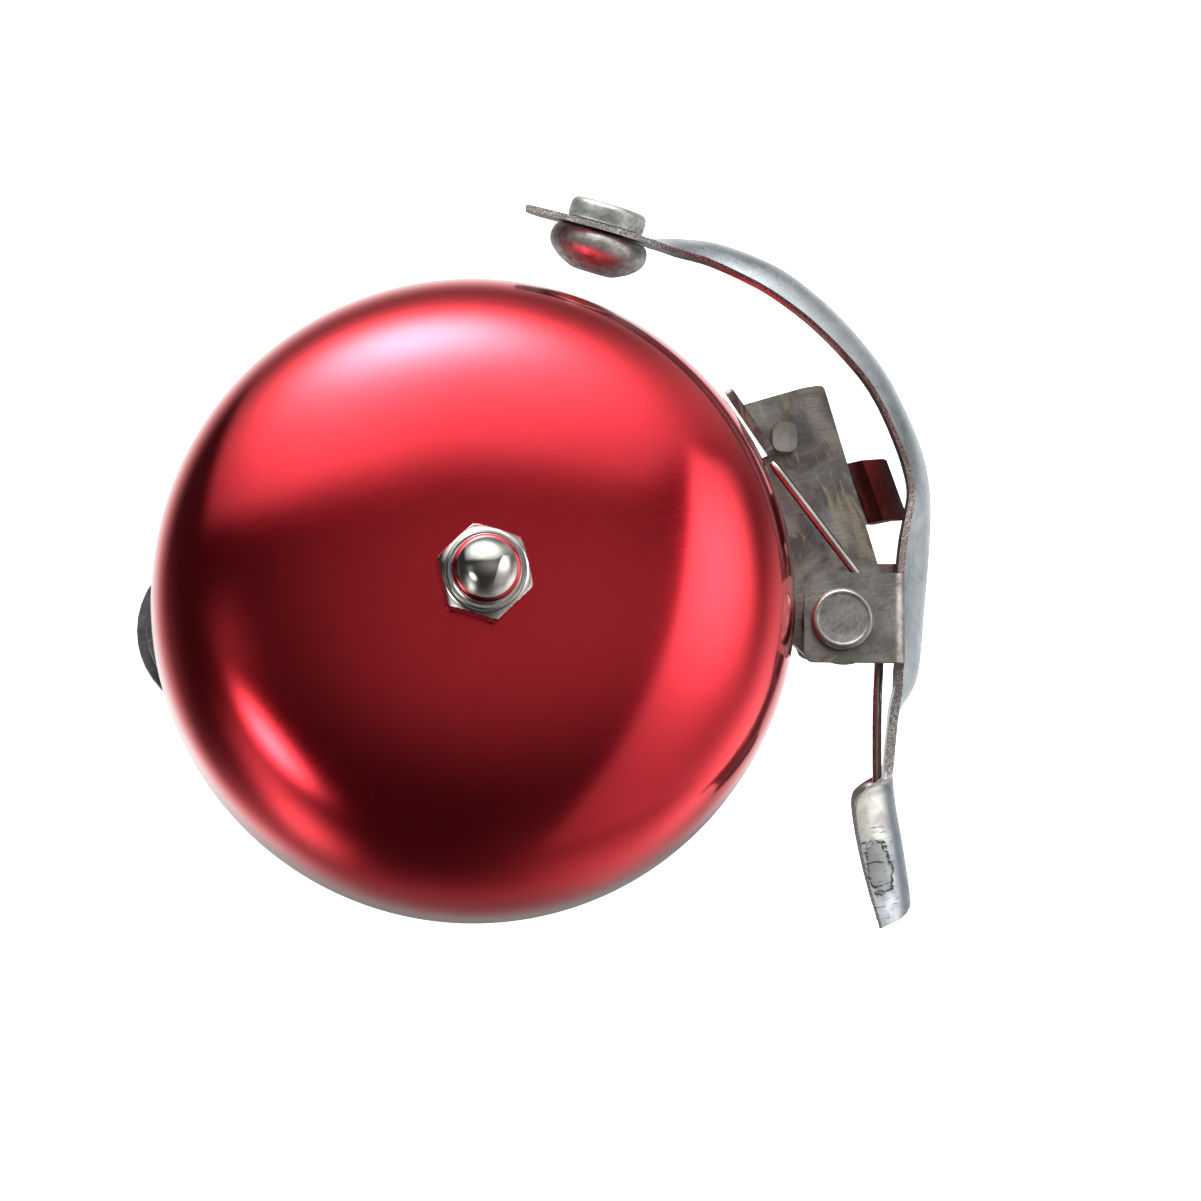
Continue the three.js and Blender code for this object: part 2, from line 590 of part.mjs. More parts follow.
function clampGroup() {
  const group = new THREE.Group();
  const earTop = EAR_HEIGHT + CLAMP_SHEET / 2;
  const screw = node('clamp_screw', clampScrew(), dullSteel);
  screw.position.x = CLAMP_BOLT_X;
  const nut = node('clamp_nut', clampNut(), zincPlate);
  nut.position.set(CLAMP_BOLT_X, 0, earTop + 1.5);
  const upperWasher = node('clamp_washer_upper', ring(2.75, 4.7, 0, 1), zincPlate);
  upperWasher.position.set(CLAMP_BOLT_X, 0, earTop + 0.2);
  const lowerWasher = node('clamp_washer_lower', ring(2.75, 4.7, 0, 1), zincPlate);
  lowerWasher.position.set(CLAMP_BOLT_X, 0, -earTop - 1.2);
  const pin = headedRivet(HINGE_PIN, 2, 0.8, -CLAMP_HALF_WIDTH - 0.15, CLAMP_HALF_WIDTH + 0.15, 1.9, 0.7);
  const hingePin = node('clamp_hinge_pin', pin, dullSteel);
  hingePin.position.x = HINGE_X;
  hingePin.rotation.x = -Math.PI / 2;
  group.add(
    node('clamp_saddle', clampSaddle(), darkPlate),
    node('clamp_strap', clampStrap(), darkPlate),
    node('liner_upper', clampLiner(1), rubber),
    node('liner_lower', clampLiner(-1), rubber),
    screw,
    nut,
    upperWasher,
    lowerWasher,
    hingePin,
  );
  return group;
}

const bell = new THREE.Group();
bell.add(bellGroup(), strikerGroup(), clampGroup());

export default bell;
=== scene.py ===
import math

import bmesh
import bpy
from mathutils import Matrix, Vector


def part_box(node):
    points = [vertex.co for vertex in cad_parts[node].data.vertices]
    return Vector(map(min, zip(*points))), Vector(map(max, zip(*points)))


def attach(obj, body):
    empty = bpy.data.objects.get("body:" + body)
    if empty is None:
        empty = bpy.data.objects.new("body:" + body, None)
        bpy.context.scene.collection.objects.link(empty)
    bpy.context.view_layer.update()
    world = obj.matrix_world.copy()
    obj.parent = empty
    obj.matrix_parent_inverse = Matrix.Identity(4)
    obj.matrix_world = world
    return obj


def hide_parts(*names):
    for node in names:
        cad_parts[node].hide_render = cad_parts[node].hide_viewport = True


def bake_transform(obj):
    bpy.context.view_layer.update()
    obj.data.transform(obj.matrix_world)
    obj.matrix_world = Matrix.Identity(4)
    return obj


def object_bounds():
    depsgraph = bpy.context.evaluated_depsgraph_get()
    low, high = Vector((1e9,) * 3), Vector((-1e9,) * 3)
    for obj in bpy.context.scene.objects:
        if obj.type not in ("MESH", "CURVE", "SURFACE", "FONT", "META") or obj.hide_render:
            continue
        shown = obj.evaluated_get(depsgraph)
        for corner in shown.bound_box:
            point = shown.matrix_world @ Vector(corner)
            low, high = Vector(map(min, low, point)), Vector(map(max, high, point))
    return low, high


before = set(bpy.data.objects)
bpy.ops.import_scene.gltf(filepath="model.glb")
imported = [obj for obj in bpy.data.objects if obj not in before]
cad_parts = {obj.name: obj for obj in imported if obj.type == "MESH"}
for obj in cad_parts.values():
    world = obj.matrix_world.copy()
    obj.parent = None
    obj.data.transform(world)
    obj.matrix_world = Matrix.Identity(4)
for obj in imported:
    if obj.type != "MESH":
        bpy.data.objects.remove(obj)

CAD_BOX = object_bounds()
MM = 0.001


# ---- Reference places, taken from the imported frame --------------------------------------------

def centre(node):
    low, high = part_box(node)
    return [(a + b) / 2 / MM for a, b in zip(low, high)]


def low_of(node):
    return [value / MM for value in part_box(node)[0]]


def high_of(node):
    return [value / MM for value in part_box(node)[1]]


RIM = low_of("bell_dome")[2]
DOME_RADIUS = high_of("bell_dome")[0]
DOME_HEIGHT = high_of("bell_dome")[2] - RIM
DOME_WALL = 1.2
DOME_SKIRT = 4.0
DOME_SQUARENESS = 2.5
PIVOT_X, PIVOT_Y, _ = centre("pivot_rivet")
NUT_LOW = low_of("acorn_nut")[2]
LEVER_MIDDLE = (low_of("striker_lever")[2] + high_of("striker_lever")[2]) / 2
FLOOR = CAD_BOX[0][2] - 0.0002


# ---- Node-based materials ---------------------------------------------------------------------

class Nodes:
    """Short calls for building the nodes of one material or world."""

    def __init__(self, name, world=False):
        if world:
            self.owner = bpy.data.worlds.new(name)
        else:
            self.owner = bpy.data.materials.new(name)
        self.owner.use_nodes = True
        self.tree = self.owner.node_tree
        self.tree.nodes.clear()

    def add(self, kind, **inputs):
        node = self.tree.nodes.new(kind)
        for key, value in inputs.items():
            self.put(node.inputs[key.replace("_", " ")], value)
        return node

    def put(self, socket, value):
        if isinstance(value, bpy.types.NodeSocket):
            self.tree.links.new(value, socket)
        else:
            socket.default_value = value

    def math(self, operation, *values, clamp=False):
        node = self.tree.nodes.new("ShaderNodeMath")
        node.operation = operation
        node.use_clamp = clamp
        for socket, value in zip(node.inputs, values):
            self.put(socket, value)
        return node.outputs[0]

    def vector(self, operation, *values, out=0):
        node = self.tree.nodes.new("ShaderNodeVectorMath")
        node.operation = operation
        for socket, value in zip(node.inputs, values):
            self.put(socket, value)
        return node.outputs[out]

    def place(self):
        """Object coordinates in millimetres."""
        coordinates = self.tree.nodes.new("ShaderNodeTexCoord").outputs["Object"]
        return self.vector("MULTIPLY", coordinates, (1000.0, 1000.0, 1000.0))

    def stretched(self, turn, scale, tilt=(0.0, 0.0)):
        """Millimetre coordinates turned about Z, then scaled along each axis."""
        node = self.tree.nodes.new("ShaderNodeMapping")
        node.vector_type = "TEXTURE"
        self.put(node.inputs["Vector"], self.place())
        node.inputs["Rotation"].default_value = (tilt[0], tilt[1], math.radians(turn))
        node.inputs["Scale"].default_value = [1.0 / value for value in scale]
        return node.outputs[0]

    def noise(self, where, scale, detail=4.0, roughness=0.55, distortion=0.0):
        node = self.add("ShaderNodeTexNoise", Vector=where, Scale=scale, Detail=detail,
                        Roughness=roughness, Distortion=distortion)
        return node.outputs["Fac"]

    def ramp(self, value, low, high, from_value=0.0, to_value=1.0, smooth=True):
        node = self.tree.nodes.new("ShaderNodeMapRange")
        node.interpolation_type = "SMOOTHSTEP" if smooth else "LINEAR"
        self.put(node.inputs["Value"], value)
        node.inputs["From Min"].default_value = low
        node.inputs["From Max"].default_value = high
        self.put(node.inputs["To Min"], from_value)
        self.put(node.inputs["To Max"], to_value)
        return node.outputs["Result"]

    def blend(self, factor, first, second):
        node = self.tree.nodes.new("ShaderNodeMix")
        node.data_type = "RGBA"
        self.put(node.inputs["Factor"], factor)
        self.put(node.inputs["A"], first)
        self.put(node.inputs["B"], second)
        return node.outputs["Result"]

    def bump(self, height, depth_mm, normal=None):
        node = self.tree.nodes.new("ShaderNodeBump")
        node.inputs["Strength"].default_value = 1.0
        node.inputs["Distance"].default_value = depth_mm * MM
        self.put(node.inputs["Height"], height)
        if normal is not None:
            self.put(node.inputs["Normal"], normal)
        return node.outputs["Normal"]

    def finish(self, **inputs):
        shader = self.tree.nodes.new("ShaderNodeBsdfPrincipled")
        for key, value in inputs.items():
            self.put(shader.inputs[key.replace("_", " ")], value)
        output = self.tree.nodes.new("ShaderNodeOutputMaterial")
        self.tree.links.new(shader.outputs[0], output.inputs["Surface"])
        return self.owner


def rgba(r, g, b):
    return (r, g, b, 1.0)


def anodised(name):
    n = Nodes(name)
    hairline = n.noise(n.stretched(17, (0.06, 1.6, 0.3)), 3.2, 3.0, 0.6)
    faint = n.noise(n.stretched(17, (0.12, 3.2, 0.6)), 4.1, 2.0)
    cloud = n.noise(n.place(), 0.09, 3.0)
    speck = n.noise(n.place(), 2.6, 2.0)
    colour = n.blend(n.ramp(cloud, 0.35, 0.7), rgba(0.83, 0.012, 0.033), rgba(0.77, 0.008, 0.025))
    colour = n.blend(n.ramp(speck, 0.72, 0.80, 0.0, 0.35), colour, rgba(0.88, 0.10, 0.13))
    rough = n.ramp(hairline, 0.3, 0.75, 0.125, 0.185)
    lines = n.math("ADD", n.math("MULTIPLY", hairline, 0.7), n.math("MULTIPLY", faint, 0.3))
    waves = n.noise(n.place(), 0.16, 1.0)
    normal = n.bump(lines, 0.0024, n.bump(waves, 0.010))
    return n.finish(Base_Color=colour, Metallic=1.0, Roughness=rough, Normal=normal,
                    Coat_Weight=0.9, Coat_Roughness=0.10, Coat_IOR=1.5)


def worked_metal(name, light, dark, stain, rough, turn=0.0, grain=0.0015, dents=0.004,
                 stain_amount=0.5, scale=1.0, wear=0.0):
    """Plated or bare steel with cloudy stains, directional grain, pits and small scratches."""
    n = Nodes(name)
    cloud = n.noise(n.place(), 0.33 * scale, 5.0, 0.6, 0.4)
    patch = n.noise(n.place(), 0.85 * scale, 6.0, 0.65, 0.8)
    fine = n.noise(n.place(), 7.0 * scale, 3.0, 0.6)
    lines = n.noise(n.stretched(turn, (0.10, 2.4, 2.4)), 2.2 * scale, 4.0, 0.65)
    scratch = n.noise(n.stretched(turn + 24, (0.05, 1.7, 1.7)), 1.9 * scale, 1.0)
    colour = n.blend(n.ramp(cloud, 0.32, 0.68), light, dark)
    colour = n.blend(n.ramp(patch, 0.50, 0.72, 0.0, stain_amount), colour, stain)
    colour = n.blend(n.ramp(scratch, 0.70, 0.76, 0.0, 0.45 + wear), colour, rgba(0.78, 0.78, 0.78))
    colour = n.blend(n.ramp(fine, 0.64, 0.80, 0.0, 0.35), colour, stain)
    roughness = n.ramp(n.math("ADD", n.math("MULTIPLY", lines, 0.5), n.math("MULTIPLY", patch, 0.5)),
                       0.3, 0.7, rough * 0.72, rough * 1.35)
    normal = n.bump(lines, grain, n.bump(patch, dents, n.bump(scratch, grain * 1.5)))
    return n.finish(Base_Color=colour, Metallic=1.0, Roughness=roughness, Normal=normal)


def worn_pad(name):
    """Zinc on the thumb pad: bright where it is rubbed, with a dark tear in the upper flange."""
    n = Nodes(name)
    axes = ((1, 0, 0), (0, 1, 0), (0, 0, 1))
    x, y, z = (n.vector("DOT_PRODUCT", n.place(), axis, out=1) for axis in axes)
    cloud = n.noise(n.place(), 0.6, 4.0, 0.6, 0.5)
    scratch = n.noise(n.stretched(15, (0.2, 3.2, 1.0)), 1.3, 3.0, 0.6)
    slant = 0.16
    across = n.math("ADD", x, n.math("MULTIPLY", y, slant))
    left = PIVOT_X + slant * (PIVOT_Y - 20) + 2.5
    rubbed = n.ramp(n.math("ADD", across, n.math("MULTIPLY", cloud, 1.2)), left + 3.9, left + 1.6)
    high = n.ramp(y, PIVOT_Y - 22.5, PIVOT_Y - 18.5)
    blue = n.blend(n.ramp(cloud, 0.35, 0.7), rgba(0.40, 0.45, 0.52), rgba(0.31, 0.35, 0.41))
    pale = n.blend(n.ramp(cloud, 0.4, 0.7), rgba(0.56, 0.55, 0.51), rgba(0.44, 0.43, 0.40))
    colour = n.blend(n.math("MULTIPLY", rubbed, n.ramp(high, 0, 1, 0.35, 1.0)), blue, pale)
    dx = n.math("DIVIDE", n.math("SUBTRACT", across, left + 0.5), 1.15)
    dy = n.math("DIVIDE", n.math("SUBTRACT", y, PIVOT_Y - 23.2), 2.6)
    spread = n.math("SQRT", n.math("ADD", n.math("MULTIPLY", dx, dx), n.math("MULTIPLY", dy, dy)))
    spread = n.math("ADD", spread, n.math("MULTIPLY", n.noise(n.place(), 0.9, 4.0, 0.65), 1.1))
    upper = n.ramp(z, LEVER_MIDDLE + 3.4, LEVER_MIDDLE + 4.2)
    torn = n.math("MULTIPLY", n.ramp(spread, 1.62, 1.42), upper)
    rim = n.ramp(n.math("ABSOLUTE", n.math("SUBTRACT", spread, 1.55)), 0.16, 0.02)
    rim = n.math("MULTIPLY", rim, n.ramp(scratch, 0.40, 0.56, 0.15, 1.0))
    nicks = n.math("MULTIPLY", n.ramp(scratch, 0.58, 0.66), n.ramp(across, left + 2.6, left + 1.2))
    nicks = n.math("MULTIPLY", nicks, n.ramp(y, PIVOT_Y - 18.6, PIVOT_Y - 19.6))
    dark = n.math("MULTIPLY", n.math("MAXIMUM", rim, nicks), upper)
    colour = n.blend(n.math("MULTIPLY", torn, 0.75), colour, rgba(0.20, 0.21, 0.20))
    colour = n.blend(n.math("MULTIPLY", dark, 0.9), colour, rgba(0.035, 0.035, 0.035))
    rough = n.ramp(cloud, 0.3, 0.7, 0.30, 0.44)
    normal = n.bump(scratch, 0.012, n.bump(cloud, 0.012, n.bump(torn, 0.10)))
    return n.finish(Base_Color=colour, Metallic=1.0, Roughness=rough, Normal=normal)


def tinted(name):
    """Bracket steel: grey-brown, with yellow and blue tints and a brushed grain, and a painted dark
    reflection of the red dome by the tab.
    """
    n = Nodes(name)
    cloud = n.noise(n.place(), 0.20, 4.0, 0.55, 0.6)
    band = n.noise(n.stretched(-72, (0.5, 1.7, 1.0)), 0.36, 5.0, 0.6, 1.2)
    lines = n.noise(n.stretched(8, (0.09, 2.6, 2.6)), 1.9, 5.0, 0.7)
    fine = n.noise(n.place(), 6.0, 3.0)
    colour = n.blend(n.ramp(cloud, 0.38, 0.62), rgba(0.20, 0.175, 0.16), rgba(0.52, 0.50, 0.465))
    colour = n.blend(n.ramp(band, 0.52, 0.66, 0.0, 0.8), colour, rgba(0.62, 0.53, 0.40))
    colour = n.blend(n.ramp(band, 0.47, 0.32, 0.0, 0.7), colour, rgba(0.27, 0.33, 0.41))
    colour = n.blend(n.ramp(lines, 0.44, 0.64, 0.0, 0.45), colour, rgba(0.15, 0.135, 0.125))
    colour = n.blend(n.ramp(fine, 0.66, 0.8, 0.0, 0.5), colour, rgba(0.08, 0.07, 0.065))
    # Painted reflection: past a line by the tab the colour is painted dark red-brown, standing in for the
    # tab's dark reflection of the red dome.
    painted_reflection_reach = n.vector("DOT_PRODUCT", n.place(), (0.959, 0.285, 0.0), out=1)
    colour = n.blend(n.ramp(painted_reflection_reach, 37.9, 38.9, 0.0, 0.85), colour, rgba(0.075, 0.045, 0.04))
    roughness = n.ramp(lines, 0.3, 0.7, 0.27, 0.46)
    normal = n.bump(lines, 0.004, n.bump(band, 0.01))
    return n.finish(Base_Color=colour, Metallic=1.0, Roughness=roughness, Normal=normal)


def sheared(name):
    """The cut edge of a sheet: dark, with fine bright lines across its thickness."""
    n = Nodes(name)
    across = n.noise(n.stretched(0, (1.4, 1.4, 0.15)), 5.2, 3.0, 0.7)
    cloud = n.noise(n.place(), 0.5, 4.0)
    colour = n.blend(n.ramp(across, 0.42, 0.66), rgba(0.12, 0.115, 0.11), rgba(0.66, 0.64, 0.61))
    colour = n.blend(n.ramp(cloud, 0.45, 0.7, 0.0, 0.7), colour, rgba(0.19, 0.175, 0.16))
    return n.finish(Base_Color=colour, Metallic=0.25, Roughness=n.ramp(across, 0.3, 0.7, 0.45, 0.6),
                    Normal=n.bump(across, 0.02))


def nickel(name):
    n = Nodes(name)
    smudge = n.noise(n.place(), 0.7, 4.0, 0.6)
    fine = n.noise(n.stretched(30, (0.2, 3.0, 3.0)), 3.0, 2.0)
    colour = n.blend(n.ramp(smudge, 0.4, 0.7), rgba(0.66, 0.64, 0.615), rgba(0.55, 0.525, 0.49))
    return n.finish(Base_Color=colour, Metallic=1.0, Roughness=n.ramp(smudge, 0.3, 0.75, 0.06, 0.13),
                    Normal=n.bump(fine, 0.0006, n.bump(smudge, 0.006)))


def rubber(name):
    n = Nodes(name)
    grain = n.noise(n.place(), 5.0, 4.0)
    dust = n.noise(n.place(), 0.6, 4.0)
    colour = n.blend(n.ramp(dust, 0.5, 0.75), rgba(0.013, 0.013, 0.014), rgba(0.035, 0.034, 0.033))
    return n.finish(Base_Color=colour, Roughness=n.ramp(grain, 0.3, 0.7, 0.6, 0.85),
                    Normal=n.bump(grain, 0.02))


def fibre(name):
    n = Nodes(name)
    grain = n.noise(n.stretched(40, (0.6, 2.5, 2.5)), 3.0, 5.0)
    colour = n.blend(n.ramp(grain, 0.35, 0.7), rgba(0.10, 0.055, 0.035), rgba(0.22, 0.13, 0.085))
    return n.finish(Base_Color=colour, Roughness=n.ramp(grain, 0.3, 0.7, 0.7, 0.9),
                    Normal=n.bump(grain, 0.015))


RED = anodised("red_anodising")
NICKEL = nickel("nickel")
ZINC = worked_metal("zinc", rgba(0.60, 0.66, 0.69), rgba(0.46, 0.52, 0.56), rgba(0.34, 0.37, 0.39),
                    0.30, 70, 0.0012, 0.005, 0.45)
WORN = worn_pad("worn_zinc")
EAR = worked_metal("stained_zinc", rgba(0.42, 0.40, 0.37), rgba(0.25, 0.235, 0.22), rgba(0.12, 0.10, 0.09),
                   0.36, 8, 0.003, 0.008, 0.65, 1.2, 0.1)
EDGE = sheared("cut_edge")
TINTED = tinted("tinted_steel")
DULL = worked_metal("dull_steel", rgba(0.47, 0.46, 0.45), rgba(0.30, 0.29, 0.285), rgba(0.15, 0.14, 0.135),
                    0.38, 35, 0.003, 0.014, 0.6, 1.6, 0.1)
HAMMER = worked_metal("hammer_steel", rgba(0.60, 0.60, 0.58), rgba(0.36, 0.36, 0.35),
                      rgba(0.16, 0.15, 0.14), 0.46, 60, 0.006, 0.035, 0.75, 2.6, 0.15)
WIRE = worked_metal("spring_wire", rgba(0.52, 0.49, 0.47), rgba(0.36, 0.33, 0.31), rgba(0.20, 0.15, 0.13),
                    0.24, 65, 0.0012, 0.002, 0.4, 1.0)
DARK = worked_metal("dark_plate", rgba(0.30, 0.31, 0.32), rgba(0.19, 0.195, 0.20), rgba(0.10, 0.095, 0.09),
                    0.36, 10, 0.003, 0.008, 0.5)
BRASS = worked_metal("brass", rgba(0.76, 0.58, 0.28), rgba(0.62, 0.45, 0.20), rgba(0.33, 0.22, 0.10),
                     0.30, 0, 0.002, 0.004, 0.4)
RUBBER = rubber("rubber")
FIBRE = fibre("fibre")


# ---- Mesh building ----------------------------------------------------------------------------

def mesh_of(name, points, faces, matrix=None):
    """A mesh from points in millimetres."""
    mesh = bpy.data.meshes.new(name)
    place = matrix or Matrix.Identity(4)
    mesh.from_pydata([(place @ Vector(p)) * MM for p in points], [], faces)
    bm = bmesh.new()
    bm.from_mesh(mesh)
    bmesh.ops.recalc_face_normals(bm, faces=bm.faces)
    bm.to_mesh(mesh)
    bm.free()
    return mesh


def smooth(mesh, angle=32):
    mesh.polygons.foreach_set("use_smooth", [True] * len(mesh.polygons))
    mesh.set_sharp_from_angle(angle=math.radians(angle))


def piece(name, mesh, body, nodes, materials, angle=32):
    smooth(mesh, angle)
    obj = bpy.data.objects.new(name, mesh)
    bpy.context.scene.collection.objects.link(obj)
    for material in materials:
        mesh.materials.append(material)
    if body:
        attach(obj, body)
    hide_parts(*nodes)
    return obj


def bevelled(obj, width_mm, segments=2, angle=30):
    bevel = obj.modifiers.new("bevel", "BEVEL")
    bevel.width = width_mm * MM
    bevel.segments = segments
    bevel.limit_method = "ANGLE"
    bevel.angle_limit = math.radians(angle)
    bevel.harden_normals = True
    return obj


def soften(profile, radius, steps=4, closed=False):
    """A profile with each corner replaced by a small quadratic curve."""
    count = len(profile)
    result = []
    for i, (x, y) in enumerate(profile):
        if not closed and i in (0, count - 1):
            result.append((x, y))
            continue
        here = Vector((x, y))
        before = Vector(profile[i - 1]) - here
        after = Vector(profile[(i + 1) % count]) - here
        cut = min(radius, before.length * 0.45, after.length * 0.45)
        start = here + before.normalized() * cut
        end = here + after.normalized() * cut
        for k in range(steps + 1):
            t = k / steps
            point = start * (1 - t) ** 2 + here * 2 * t * (1 - t) + end * t ** 2
            result.append((point.x, point.y))
    return result


def arc(cx, cy, radius, start, end, steps):
    angles = [math.radians(start + (end - start) * i / steps) for i in range(steps + 1)]
    return [(cx + radius * math.cos(a), cy + radius * math.sin(a)) for a in angles]


def turned(name, profile, segments=72, matrix=None, closed=False, radius_at=None):
    """A profile of (radius, height) turned about Z. radius_at may limit the radius at an angle."""
    points, rings = [], []
    for r, z in profile:
        if r < 1e-6:
            rings.append([len(points)])
            points.append((0, 0, z))
            continue
        rings.append(list(range(len(points), len(points) + segments)))
        for i in range(segments):
            angle = 2 * math.pi * i / segments
            radius = radius_at(r, angle) if radius_at else r
            points.append((radius * math.cos(angle), radius * math.sin(angle), z))
    faces = []
    pairs = list(zip(rings, rings[1:]))
    if closed:
        pairs.append((rings[-1], rings[0]))
    for lower, upper in pairs:
        if len(lower) == 1 and len(upper) == 1:
            continue
        for i in range(segments):
            j = (i + 1) % segments
            if len(lower) == 1:
                faces.append((lower[0], upper[j], upper[i]))
            elif len(upper) == 1:
                faces.append((lower[i], lower[j], upper[0]))
            else:
                faces.append((lower[i], lower[j], upper[j], upper[i]))
    return mesh_of(name, points, faces, matrix)


def swept(name, path, radius, sides=14):
    """A round wire along a path, with rounded ends."""
    points, faces = [], []
    tangents = []
    for i in range(len(path)):
        step = Vector(path[min(i + 1, len(path) - 1)]) - Vector(path[max(i - 1, 0)])
        tangents.append(step.normalized())
    side = tangents[0].orthogonal().normalized()
    rings = []
    last = len(path) - 1
    for i, (centre_point, tangent) in enumerate(zip(path, tangents)):
        side = (side - tangent * side.dot(tangent)).normalized()
        other = tangent.cross(side)
        size = radius * (0.72 if i in (0, last) else 1.0)
        rings.append(len(points))
        for k in range(sides):
            angle = 2 * math.pi * k / sides
            offset = side * math.cos(angle) + other * math.sin(angle)
            points.append(Vector(centre_point) + offset * size)
    for a, b in zip(rings, rings[1:]):
        for k in range(sides):
            j = (k + 1) % sides
            faces.append((a + k, a + j, b + j, b + k))
    faces.append(tuple(range(sides)))
    faces.append(tuple(rings[-1] + k for k in reversed(range(sides))))
    return mesh_of(name, points, faces)


def catmull(points, steps):
    """A smooth curve through points of any dimension, with a number of steps between each pair."""
    result = []
    count = len(points)
    for i in range(count - 1):
        p = [points[min(max(i + k, 0), count - 1)] for k in (-1, 0, 1, 2)]
        for s in range(steps):
            t = s / steps
            weights = (-t ** 3 / 2 + t ** 2 - t / 2, 3 * t ** 3 / 2 - 5 * t ** 2 / 2 + 1,
                       -3 * t ** 3 / 2 + 2 * t ** 2 + t / 2, t ** 3 / 2 - t ** 2 / 2)
            result.append([sum(w * q[k] for w, q in zip(weights, p)) for k in range(len(points[0]))])
    result.append(list(points[-1]))
    return result


def refined(node, body, materials, width=0.12, segments=2, angle=28):
    """A CAD node's shape with its flat faces merged and its edges rounded."""
    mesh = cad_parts[node].data.copy()
    mesh.materials.clear()
    bm = bmesh.new()
    bm.from_mesh(mesh)
    bmesh.ops.remove_doubles(bm, verts=bm.verts, dist=2e-6)
    bmesh.ops.dissolve_limit(bm, angle_limit=math.radians(0.6), verts=bm.verts, edges=bm.edges)
    for face in bm.faces:
        face.material_index = 0
    bm.to_mesh(mesh)
    bm.free()
    obj = piece(f"fine_{node}", mesh, body, [node], materials, angle)
    return bevelled(obj, width, segments, angle)


# ---- Dome, nut and stud -----------------------------------------------------------------------

def dome_curve(radius, height, steps):
    power = 2 / DOME_SQUARENESS
    result = []
    for i in range(steps + 1):
        angle = math.pi / 2 * (i / steps)
        r = radius * max(math.cos(angle), 0) ** power
        result.append((r, DOME_SKIRT + (height - DOME_SKIRT) * math.sin(angle) ** power))
    return result


def dome():
    rim = DOME_WALL / 2
    outer = [p for p in dome_curve(DOME_RADIUS, DOME_HEIGHT, 64) if p[0] > 2.9]
    inner = [p for p in dome_curve(DOME_RADIUS - DOME_WALL, DOME_HEIGHT - DOME_WALL, 40) if p[0] > 2.9]
    roll = arc(DOME_RADIUS - rim, rim, rim, -180, 0, 10)
    wall = [(DOME_RADIUS, 1.2), (DOME_RADIUS, 2.6)]
    profile = roll + wall + outer + [(2.7, DOME_HEIGHT), (2.7, DOME_HEIGHT - DOME_WALL)] + inner[::-1]
    mesh = turned("dome", profile, 200, Matrix.Translation((0, 0, RIM)), closed=True)
    return piece("dome", mesh, "frame", ["bell_dome"], [RED], 40)


def hex_limit(flats, turn):
    def limit(r, angle):
        local = (angle - math.radians(turn) + math.pi / 6) % (math.pi / 3) - math.pi / 6
        corner = abs(local) - math.pi / 6
        edge = flats / 2 / math.cos(corner)
        return min(r, edge) if r > flats / 2 * 0.98 else r
    return limit


def chamfered_hex(flats, height, top_round, bottom_round=0.35):
    """The (radius, height) limit of a nut's body, which the flats then cut."""
    corner = flats / math.sqrt(3)
    profile = [(0, 0), (corner - bottom_round, 0), (corner + 0.02, bottom_round)]
    for i in range(9):
        t = i / 8
        r = corner + 0.02 - (corner - flats / 2 * 0.93) * t
        z = height - top_round * (1 - t) ** 1.4
        profile.append((r, z))
    return profile


def acorn_nut():
    height = 3.2
    body = chamfered_hex(8, height, 0.85)
    step = [(3.66, height + 0.01), (3.62, height + 0.22), (3.5, height + 0.33), (3.26, height + 0.35)]
    ball_middle = height + 1.1
    ball = [(3.16, height + 0.42)] + arc(0, ball_middle, 3.2, -10, 90, 22)[1:-1]
    profile = body + step + ball + [(0, ball_middle + 3.2)]
    matrix = Matrix.Translation((0, 0, NUT_LOW))
    mesh = turned("nut", profile, 120, matrix, radius_at=hex_limit(8, 43.3))
    return piece("nut", mesh, "frame", ["acorn_nut"], [NICKEL], 24)


def stud():
    bottom, top = low_of("centre_bolt")[2], high_of("centre_bolt")[2]
    profile = soften([(0, bottom), (3.6, bottom), (4.4, bottom + 0.45), (4.4, bottom + 1.05),
                      (2.45, bottom + 1.1), (2.45, top - 0.5), (2.0, top), (0, top)], 0.12, 3)
    mesh = turned("stud", profile, 48)
    return piece("stud", mesh, "frame", ["centre_bolt"], [DARK])


def sleeve(name, node, outer, inner, body, material, rounding=0.12, segments=56):
    """A turned ring standing where the CAD node stands."""
    x, y, _ = centre(node)
    low, high = low_of(node)[2], high_of(node)[2]
    profile = soften([(inner, low), (outer, low), (outer, high), (inner, high)], rounding, 3, True)
    mesh = turned(name, profile, segments, Matrix.Translation((x, y, 0)), closed=True)
    return piece(name, mesh, body, [node], [material])


def rivet(name, node, head, head_height, shank, tail, tail_height, body, material,
          dish=0.0, matrix=None):
    """A rivet with a flat head on top and a closed tail below."""
    x, y, _ = centre(node)
    low, high = low_of(node)[2], high_of(node)[2]
    if matrix is not None:
        low, high = low_of(node)[1], high_of(node)[1]
    under, over = low + tail_height, high - head_height
    top = [(head, over), (head, high - 0.32), (head - 0.22, high - 0.04), (head - 0.42, high),
           (head - 0.62, high - 0.02 - dish * 0.5), (head * 0.52, high - dish), (0, high - dish * 0.8)]
    profile = [(0, low), (tail * 0.6, low), (tail * 0.93, low + tail_height * 0.35),
               (tail, low + tail_height * 0.75), (tail * 0.97, under), (shank, under), (shank, over)]
    place = matrix or Matrix.Translation((x, y, 0))
    mesh = turned(name, soften(profile + top, 0.1, 3), 64, place)
    return piece(name, mesh, body, [node], [material])


# ---- Striker lever ----------------------------------------------------------------------------

